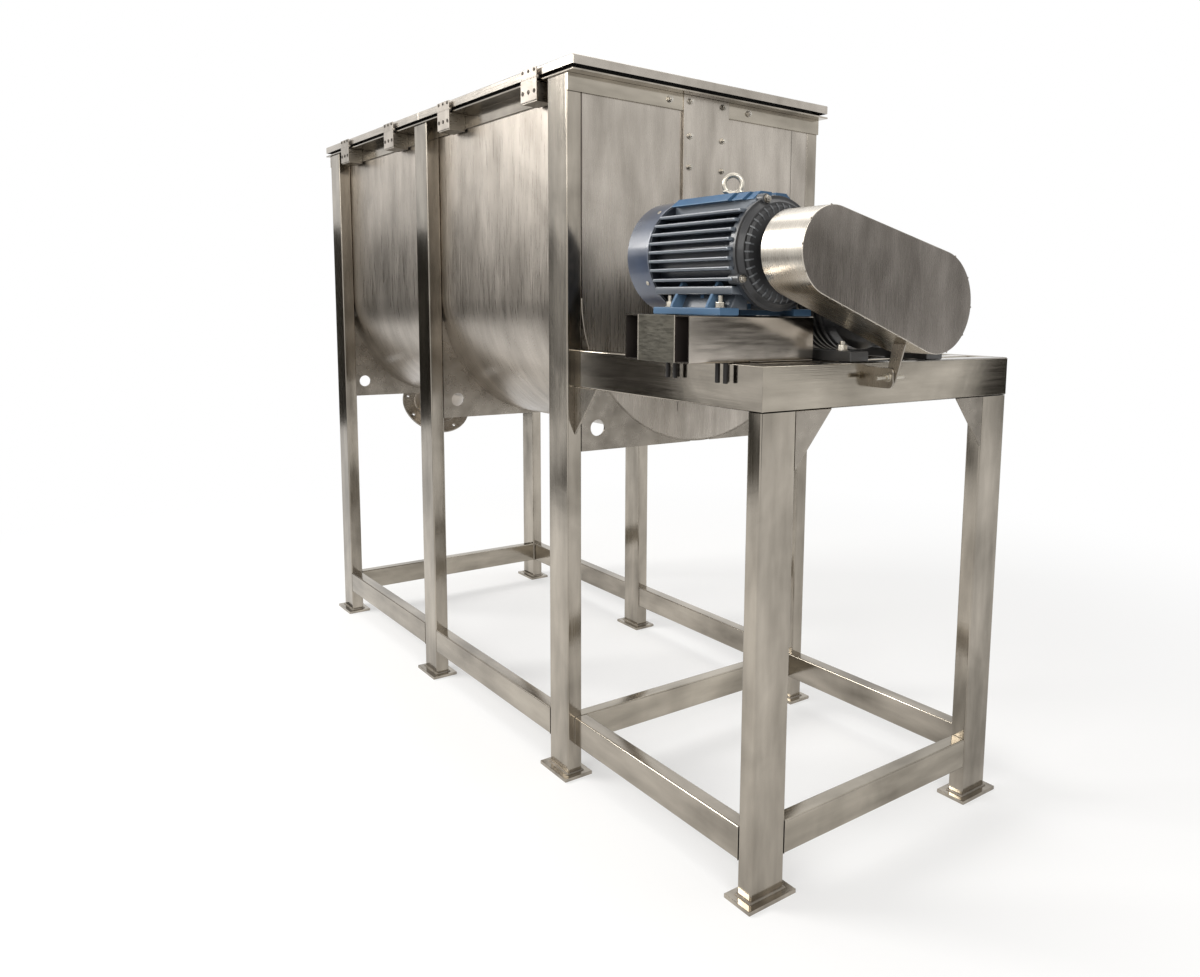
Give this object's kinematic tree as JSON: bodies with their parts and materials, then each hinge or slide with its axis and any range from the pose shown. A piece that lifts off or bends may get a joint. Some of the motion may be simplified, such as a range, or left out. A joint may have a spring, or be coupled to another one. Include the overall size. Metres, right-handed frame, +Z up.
{
  "type": "ribbon blender",
  "caption": "Horizontal stainless ribbon blender: U-trough on tube legs, hinged flat lids, double helical ribbon agitator, finned motor, belt guard and reducer on a front table.",
  "frame": {"origin": "middle of the machine's footprint, on the floor", "axes": "+X along the trough towards the drive end, +Y towards the lids' handle side, +Z up"},
  "size_m": [2.9024, 1.0712, 1.953],
  "materials": {
    "stainless_satin": "satin",
    "stainless_polished": "polished",
    "motor_blue": "gloss paint",
    "reducer_black": "satin paint",
    "zinc": "zinc plated",
    "cast_iron": "as cast and machined",
    "gasket_rubber": "matte",
    "seal_white": "matte"
  },
  "bodies": {
    "frame": {"trough_leg_rear_left": "stainless_satin", "low_rail_rear_left": "stainless_satin", "trough_leg_mid_left": "stainless_satin", "low_rail_mid_left": "stainless_satin", "trough_leg_front_left": "stainless_satin", "low_rail_front_left": "stainless_satin", "table_leg_left": "stainless_satin", "trough_leg_rear_right": "stainless_satin", "low_rail_rear_right": "stainless_satin", "trough_leg_mid_right": "stainless_satin", "low_rail_mid_right": "stainless_satin", "trough_leg_front_right": "stainless_satin", "low_rail_front_right": "stainless_satin", "table_leg_right": "stainless_satin", "cross_rail_rear": "stainless_satin", "cross_rail_front": "stainless_satin", "cross_rail_table": "stainless_satin", "table_frame": "stainless_satin", "trough_shell": "stainless_satin", "discharge_spout": "stainless_satin", "rim_frame": "stainless_satin", "rear_centre_strip": "stainless_satin", "front_centre_strip": "stainless_satin", "belt_guard": "stainless_satin", "guard_strap": "stainless_satin", "motor_base": "stainless_satin", "rear_lid_gasket": "gasket_rubber", "front_lid_gasket": "gasket_rubber", "belt_rear": "gasket_rubber", "belt_front": "gasket_rubber", "hinge_bracket_1": "stainless_satin", "hinge_bracket_2": "stainless_satin", "hinge_bracket_3": "stainless_satin", "hinge_bracket_4": "stainless_satin", "rear_shaft_seal": "seal_white", "front_shaft_seal": "seal_white", "rear_bearing": "cast_iron", "front_bearing": "cast_iron", "reducer_foot_casing": "reducer_black", "reducer_input_casing": "reducer_black", "motor_end_shield": "reducer_black", "motor_frame": "motor_blue", "fan_cover": "motor_blue", "terminal_box": "motor_blue", "eye_bolt": "zinc"},
    "rear_lid_body": {"rear_lid": "stainless_polished", "rear_lid_handle": "stainless_polished"},
    "front_lid_body": {"front_lid": "stainless_polished", "front_lid_handle": "stainless_polished"},
    "agitator": {"main_shaft": "stainless_polished", "outer_ribbon_rear": "stainless_polished", "outer_ribbon_front": "stainless_polished", "inner_ribbon_rear": "stainless_polished", "inner_ribbon_front": "stainless_polished", "output_shaft": "cast_iron"},
    "gearbox_input": {"reducer_input_shaft": "stainless_polished", "reducer_pulley": "cast_iron"},
    "motor_rotor": {"motor_shaft": "stainless_polished", "motor_pulley": "cast_iron"}
  },
  "joints": [
    {"name": "rear_lid_hinge", "type": "hinge", "parent": "frame", "child": "rear_lid_body", "pos_m": [-0.84629, -0.44525, 1.9237], "axis": [1, 0, 0], "range_deg": [0, 105]},
    {"name": "front_lid_hinge", "type": "hinge", "parent": "frame", "child": "front_lid_body", "pos_m": [0.14171, -0.44525, 1.9237], "axis": [1, 0, 0], "range_deg": [0, 105]},
    {"name": "agitator_spin", "type": "hinge", "parent": "frame", "child": "agitator", "pos_m": [-0.34779, 0.02235, 1.34], "axis": [1, 0, 0], "continuous": true},
    {"name": "gearbox_input_spin", "type": "hinge", "parent": "frame", "child": "gearbox_input", "pos_m": [1.30521, 0.02235, 1.34], "axis": [1, 0, 0], "continuous": true},
    {"name": "motor_rotor_spin", "type": "hinge", "parent": "frame", "child": "motor_rotor", "pos_m": [1.10521, -0.32065, 1.4366], "axis": [1, 0, 0], "continuous": true}
  ],
  "couplings": [
    {"joint": "gearbox_input_spin", "follows": "agitator_spin", "ratio": -29},
    {"joint": "motor_rotor_spin", "follows": "agitator_spin", "ratio": -39.545}
  ]
}
